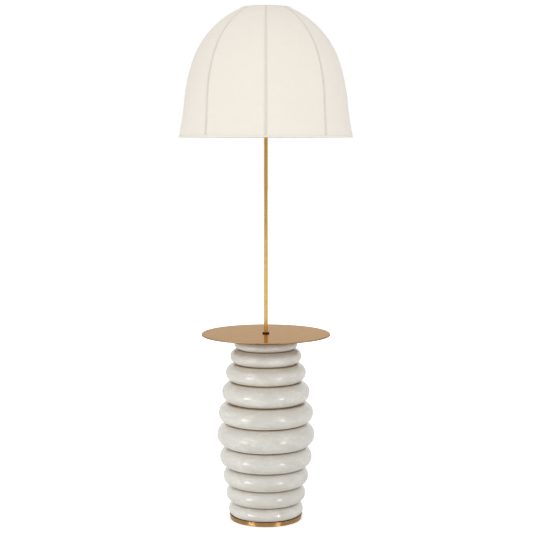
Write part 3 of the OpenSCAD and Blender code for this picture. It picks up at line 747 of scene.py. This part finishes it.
# %% [markdown]
# ## Bindings on the two edges
#
# A strip of the shade's own linen is folded over the raw edge at the crown and at the
# hem. Each binding is one ring whose section wraps the edge: an outer leg, a round fold
# and a short inner lip.

# %% Bind the edges
AROUND_HEM = 192
fold_section = [(-6.0, 0.25), (0.0, 0.2), (0.05, -1.0), (0.5, -1.0), (0.75, -0.5), (0.8, 0.2),
                (0.55, 0.75), (0.0, 1.0), (-2.8, 1.05), (-5.4, 1.0), (-5.9, 0.75)]


def around(count):
    """So many turns, evenly spread round the axis."""
    return [2 * math.pi * i / count for i in range(count)]


def binding(name, edge, outward):
    """A folded strip round the edge at a length along the line."""
    def place(turn, corner):
        return cloth_point(edge + outward * corner[0] * MM, turn, corner[1] * MM)

    def layout(turn, corner):
        return corner[0] * MM, turn * line_at(edge)[0]
    section = fold_section if outward > 0 else fold_section[::-1]
    return swept(name, around(AROUND_HEM), section, True, linen, place, layout)


crown_binding = binding("binding_at_crown", 0.0, -1)
hem_binding = binding("binding_at_hem", LINE_LENGTH, 1)
print("each binding has", len(hem_binding.data.polygons), "faces")

# %% [markdown]
# ## A rule that sews
#
# Two rows of stitches hold every tape and one row each binding, some three thousand in
# all. Repeats like that are work for Geometry Nodes: the tree walks along rows of plain
# edges in even steps and sets one stitch at each, turned to the row's direction. A
# stitch is a stretched ball of 24 faces, enough for so small a thing.

# %% Build the sewing tree
sewing, given = new_rule("stitch_rows", {"Rows": "Geometry", "Step": "Float", "Stitch Length": "Float",
                         "Thread": "Float", "Looseness": "Float", "Seed": "Int",
                         "Finish": "Material"}, "Stitches")
walk = add(sewing, "GeometryNodeMeshToCurve", {"Mesh": given["Rows"]})
steps = add(sewing, "GeometryNodeCurveToPoints", {"Curve": walk, "Length": given["Step"]}, mode="LENGTH")
aim = add(sewing, "FunctionNodeAlignRotationToVector", {"Vector": steps.outputs["Tangent"]}, axis="X")
least, most = (add(sewing, MATH, {0: 1.0, 1: given["Looseness"]}, operation=word)
               for word in ("SUBTRACT", "ADD"))
slack = add(sewing, "FunctionNodeRandomValue", {"Min": least, "Max": most, "Seed": given["Seed"]},
            data_type="FLOAT")
half_length = add(sewing, MATH, {0: given["Stitch Length"], 1: 0.5}, operation="MULTIPLY")
long = add(sewing, MATH, {0: half_length, 1: slack}, operation="MULTIPLY")
size = add(sewing, MERGE, {"X": long, "Y": given["Thread"], "Z": given["Thread"]})
ball = add(sewing, "GeometryNodeMeshUVSphere", {"Segments": 6, "Rings": 4, "Radius": 1.0})
sewn = add(sewing, "GeometryNodeInstanceOnPoints", {"Points": steps, "Instance": ball.outputs["Mesh"],
           "Rotation": aim, "Scale": size})
sewn = add(sewing, "GeometryNodeRealizeInstances", {0: sewn})
sewn = add(sewing, "GeometryNodeSetShadeSmooth", {"Geometry": sewn})
sewn = add(sewing, "GeometryNodeSetMaterial", {"Geometry": sewn, "Material": given["Finish"]})
add(sewing, "NodeGroupOutput", {"Stitches": sewn})
print("nodes in the sewing tree:", len(sewing.nodes))

# %% [markdown]
# ## Stitches
#
# The rows are drawn with the cloth's function as well: one 1.6 mm to either side of each
# seam, and one 4.2 mm in from either edge. The thread is a little darker than the tape,
# so the rows show as fine dotted lines close up and melt into the tape from afar.

# %% Sew the tapes
ROW_OFF, ROW_IN = 1.6 * MM, 4.2 * MM
ON_TAPE, ON_BINDING = 0.82 * MM, 1.0 * MM

# Waxed cotton thread: slightly shiny, with its twist as light and dark along it.
thread_finish, tree, shader = finish("waxed_cotton_thread", {"Roughness": 0.55, "Sheen Weight": 0.15})
twist = cloud(tree, add(tree, PLACE).outputs["Object"], 0.8 * MM, 0.35, 0.65, 2)
two_tones(tree, shader, twist, "#CFC8BA", "#E6E0D4", 0.05 * MM)

rows = []
for number in range(GORES):
    for side in (-1, 1):
        rows.append([cloth_point(along, seam_turn(number, along) + side * ROW_OFF / line_at(along)[0],
                                 ON_TAPE) for along in stations])
for edge in (ROW_IN, LINE_LENGTH - ROW_IN):
    rows.append([cloth_point(edge, turn, ON_BINDING) for turn in around(AROUND_HEM) + [2 * math.pi]])
corners, lines = [], []
for row in rows:
    lines += [(len(corners) + i, len(corners) + i + 1) for i in range(len(row) - 1)]
    corners += row
pattern = bpy.data.meshes.new("stitch_pattern")
pattern.from_pydata(corners, lines, [])
stitches = grown(sewing, "stitches_in_tapes", {"Step": 3.2 * MM, "Stitch Length": 2.4 * MM,
                 "Thread": 0.28 * MM, "Looseness": 0.1, "Seed": 5, "Finish": thread_finish}, pattern)
print(len(rows), "rows,", len(stitches.data.polygons) // 24, "stitches")

# %% [markdown]
# ## The shade's pieces find their places
#
# Each gore stands for its CAD gore, and tapes and bindings for theirs. A gore is also a
# sheet of cloth, cut flat: the hem's width by the line's length, with the area of an
# eighth of the dome, which is worked out here.

# %% Hand the shade its places
GORE_WIDTH, SLICES = 0.2255, 400

for number, piece in enumerate(linen_gores):
    belongs(piece, "shade", "shade_linen", f"gore_{number + 1}")
belongs(linen_tapes, "shade", "trim_tape", "seam_tapes")
belongs(crown_binding, "shade", "trim_tape", "top_trim")
belongs(hem_binding, "shade", "trim_tape", "hem_trim")
belongs(stitches, "shade", "trim_tape")

flat_area = sum(2 * math.pi * line_at(LINE_LENGTH * (i + 0.5) / SLICES)[0] * LINE_LENGTH / SLICES
                for i in range(SLICES)) / GORES
print(f"each gore is cut from {flat_area:.4f} square metres")

# %% [markdown]
# ## Felt under the foot
#
# A disc of wool felt keeps the cast weight off the floor. It could be a plain cylinder,
# but cut felt has soft edges, so it is swept from a section with its corners taken off.

# %% Cut the felt
SOFT_EDGE, FELT_IN, FELT_MIDDLE, AROUND_FELT = 0.5 * MM, 17 * MM, 60 * MM, 96

# Needled wool felt: dark, matte and slightly hairy, so its edge has a pale bloom.
wool, tree, shader = finish("needled_wool_felt", {"Roughness": 0.95, "Sheen Weight": 0.4,
                            "Sheen Roughness": 0.6})
fibres = cloud(tree, add(tree, PLACE).outputs["Object"], 1.5 * MM, 0.3, 0.7, 5, 0.75, warp=1.5)
two_tones(tree, shader, fibres, "#2B2522", "#4A423C", 0.3 * MM)

FELT_OUT, _, FELT_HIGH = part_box("felt_pad")[1]
felt_section = [(FELT_IN, SOFT_EDGE), (FELT_IN + SOFT_EDGE, 0.0), (FELT_MIDDLE, 0.0),
                (FELT_OUT - SOFT_EDGE, 0.0), (FELT_OUT, SOFT_EDGE), (FELT_OUT, FELT_HIGH - SOFT_EDGE),
                (FELT_OUT - SOFT_EDGE, FELT_HIGH), (FELT_MIDDLE, FELT_HIGH),
                (FELT_IN + SOFT_EDGE, FELT_HIGH), (FELT_IN, FELT_HIGH - SOFT_EDGE)]
felt = swept("felt_under_foot", around(AROUND_FELT), felt_section, True, wool,
             lambda turn, corner: (corner[0] * math.cos(turn), corner[0] * math.sin(turn), corner[1]),
             lambda turn, corner: (corner[0] * math.cos(turn), corner[0] * math.sin(turn)))
belongs(felt, "base", "felt", "felt_pad")
print("felt", round(2 * FELT_OUT / MM), "mm across,", round(FELT_HIGH / MM, 1), "mm thick")

# %% [markdown]
# ## Metal finishes
#
# Metal has no colour of its own apart from what it mirrors, tinted. What tells one
# finish from another is how the surface has aged and how the tool marks run: round the
# axis on spun and turned parts, along the tube on drawn ones. So one function makes
# them all from a few facts, and the fine lines are noise stretched along the tool's way.
# Real tool marks are a tenth of a millimetre apart, too fine to show, so they are drawn
# 0.3 to 0.5 mm wide.

# %% Write the metal finish
# the dark brown is a painted shade, laid in a band on some metals
PATCH, SHADE_BROWN, DULL_ROUGH = 28 * MM, "#4B3420", 0.5


def tool_marks(tree, way, size):
    """Fine lines left by the tool: round the axis for spun, along it for drawn parts."""
    place = add(tree, PLACE).outputs["Object"]
    if way == "drawn":
        return cloud(tree, place, size, 0.3, 0.7, 2, 0.5, (1, 1, 0.01))
    if way == "round":
        split = add(tree, SPLIT, {0: place})
        flat = add(tree, MERGE, {"X": split.outputs["X"], "Y": split.outputs["Y"]})
        away = add(tree, VECTOR, {0: flat}, operation="LENGTH")
        place = add(tree, MERGE, {"X": away.outputs["Value"], "Z": split.outputs["Z"]})
    return cloud(tree, place, size, 0.3, 0.7, 2, 0.5)


def metal(name, clean, aged, way, size, rough, depth, edge=WHITE, shade_band=None, dull=None, grooved=0.0):
    """Bare or lacquered metal: clean and aged colour, size of the tool marks, lowest and
    highest roughness, and depth of the marks. A painted shade, dark brown, gathers between
    two heights, from none at the first to most at the second, and the polish ends between
    the two dull heights. Sizes and heights are in mm. Grooves from the tool, from 0 to 1,
    draw highlights out across them."""
    made, tree, shader = finish(name, {"Metallic": 1.0, "Specular Tint": srgb(edge),
                                       "Anisotropic": grooved, "Anisotropic Rotation": 0.25})
    place = add(tree, PLACE).outputs["Object"]
    high = add(tree, SPLIT, {0: place}).outputs["Z"]
    marks = tool_marks(tree, way, size * MM)
    patches = cloud(tree, place, PATCH, 0.25, 0.75, 6, 0.65, warp=0.8)
    colour = add(tree, MIX, {"Factor": patches, "A": srgb(clean), "B": srgb(aged)}, data_type="RGBA")
    # painted shade: between two heights the colour turns dark brown
    if shade_band:
        share = add(tree, RANGE, {"Value": high, "From Min": shade_band[0] * MM, "From Max": shade_band[1] * MM})
        colour = add(tree, MIX, {"Factor": share, "A": colour, "B": srgb(SHADE_BROWN)}, data_type="RGBA")
    both = add(tree, MATH, {0: marks, 1: patches}, operation="ADD")
    gloss = add(tree, RANGE, {"Value": both, "From Max": 2.0, "To Min": rough[0], "To Max": rough[1]})
    if dull:
        worn = add(tree, RANGE, {"Value": high, "From Min": dull[0] * MM, "From Max": dull[1] * MM,
                   "To Max": DULL_ROUGH})
        gloss = add(tree, MATH, {0: gloss, 1: worn}, operation="MAXIMUM")
    wire(tree, shader, {"Base Color": colour, "Roughness": gloss,
                        "Normal": add(tree, BUMP, {"Height": marks, "Distance": depth * MM})})
    return made


print("patches of age are", round(PATCH / MM), "mm wide")

# %% [markdown]
# ## Nine metals
#
# How a part was made and aged makes one brass unlike another. An entry gives two tones,
# the way and size of the tool marks, the roughness and the depth.

# %% Mix the metals
finishes = {
    # spun sheet brass, lacquered and a little browned: warm, soft-edged reflections,
    # and a painted shade, dark brown, along its top edge under the lowest ring
    "foot_brass": metal("spun_brass_foot", "#BB9565", "#AC8659", "round", 0.4, (0.28, 0.35), 0.01,
                        shade_band=(14.5, 16.5), grooved=1.0),
    # rolled sheet, satin rubbed round and round, antiqued: faint clouds, dull gold,
    # and a painted shade, dark brown, along the lower edge of the rim
    "tray_brass": metal("antiqued_sheet_brass", "#C4A37D", "#B5936B", "round", 0.5, (0.1, 0.2), 0.004,
                        edge="#DAC4A8", shade_band=(627.8, 627.1), dull=(630.6, 629.6)),
    # drawn tube, burnished along its length: bright, deep yellow
    "pole_brass": metal("burnished_brass_tube", "#E8BF70", "#DFB363", "drawn", 0.5, (0.18, 0.26), 0.01),
    # turned bar brass: fine even rings from the lathe
    "turned_brass": metal("turned_bar_brass", "#D9B36C", "#C79F58", "round", 0.3, (0.15, 0.28), 0.015),
    # stamped cups, bright dipped: slightly grainy from the acid
    "socket_brass": metal("bright_dipped_brass", "#DDBB78", "#CDA762", "grain", 0.5, (0.2, 0.32), 0.01),
    # plated wire and strip: smooth, paler than solid brass
    "harp_brass": metal("brass_plated_wire", "#D8BC80", "#C7A668", "grain", 2, (0.15, 0.26), 0.01),
    # oil-rubbed bronze: brown gold, with a painted shade, dark brown, on its lower part down at the tray
    "dark_bronze": metal("oil_rubbed_bronze", "#A57C48", "#8A6438", "round", 0.5, (0.3, 0.45), 0.02,
                         shade_band=(634.6, 633.6)),
    # zinc plated steel: blue-grey, with a faint frosty grain
    "zinc_steel": metal("zinc_plated_steel", "#C3C6CA", "#A9ADB3", "grain", 1, (0.3, 0.42), 0.01),
    # drawn aluminium shell: bright and clean
    "aluminium": metal("drawn_aluminium", "#DCDDDF", "#CDCED1", "round", 0.4, (0.2, 0.3), 0.01),
}
print(len(finishes), "metal finishes")

# %% [markdown]
# ## Paint, plastic, card and glass
#
# These are not metals, so their colour is in the surface and only a weak white gloss lies
# on it. What sets them apart is the gloss and the small relief: sand marks on iron under
# lacquer, orange peel on powder coat, mould texture on plastic, fibres in card.

# %% Mix the other finishes
def coated(name, light, dark, size, rough, depth, squeeze=(1, 1, 1), **surface):
    """Paint, plastic, card or glass: two near colours in a grain, its size and depth in mm."""
    made, tree, shader = finish(name, {"Roughness": rough, **surface})
    grain = cloud(tree, add(tree, PLACE).outputs["Object"], size * MM, 0.3, 0.7, 4, 0.6, squeeze)
    two_tones(tree, shader, grain, dark, light, depth * MM)
    return made


finishes |= {
    # grey iron cast in sand, under black lacquer: pitted, half gloss
    "cast_iron": coated("lacquered_cast_iron", "#343436", "#1E1E20", 2.5, 0.5, 0.3),
    # moulded nylon: matte black with a fine spark-eroded grain
    "black_nylon": coated("moulded_nylon", "#202021", "#151516", 0.6, 0.55, 0.03),
    # phenolic: near black, smooth from the mould, half gloss
    "black_phenolic": coated("moulded_phenolic", "#1D1A19", "#121010", 3, 0.28, 0.01),
    # vulcanised fibre: tan card with short fibres lying along it
    "fibre_card": coated("vulcanised_fibre_card", "#A98E6C", "#8A7050", 1.2, 0.8, 0.05, (1, 1, 0.3)),
    # white powder coat on wire: slight orange peel
    "frame_wire": coated("white_powder_coat", "#EDEBE5", "#E2E0D9", 1.5, 0.4, 0.04),
    # opal glass: milky all through, smooth outside
    "opal_glass": coated("opal_glass_bulb", "#F7F5EF", "#F0EEE7", 12, 0.12, 0.005,
                         **{"Coat Weight": 0.4, "Coat Roughness": 0.05}),
}
print(sorted(finishes))

# %% [markdown]
# ## Dressing the CAD parts
#
# The turned, spun and drawn parts keep the CAD's own shape, which is exact and already
# has its fillets. Each one's material slot has the name of its finish in the record, so
# one loop puts the new finishes on.

# %% Dress the CAD parts
dressed = 0
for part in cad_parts.values():
    for slot in part.material_slots:
        if slot.material and slot.material.name in finishes:
            slot.material = finishes[slot.material.name]
            dressed += 1
print(dressed, "CAD parts dressed")
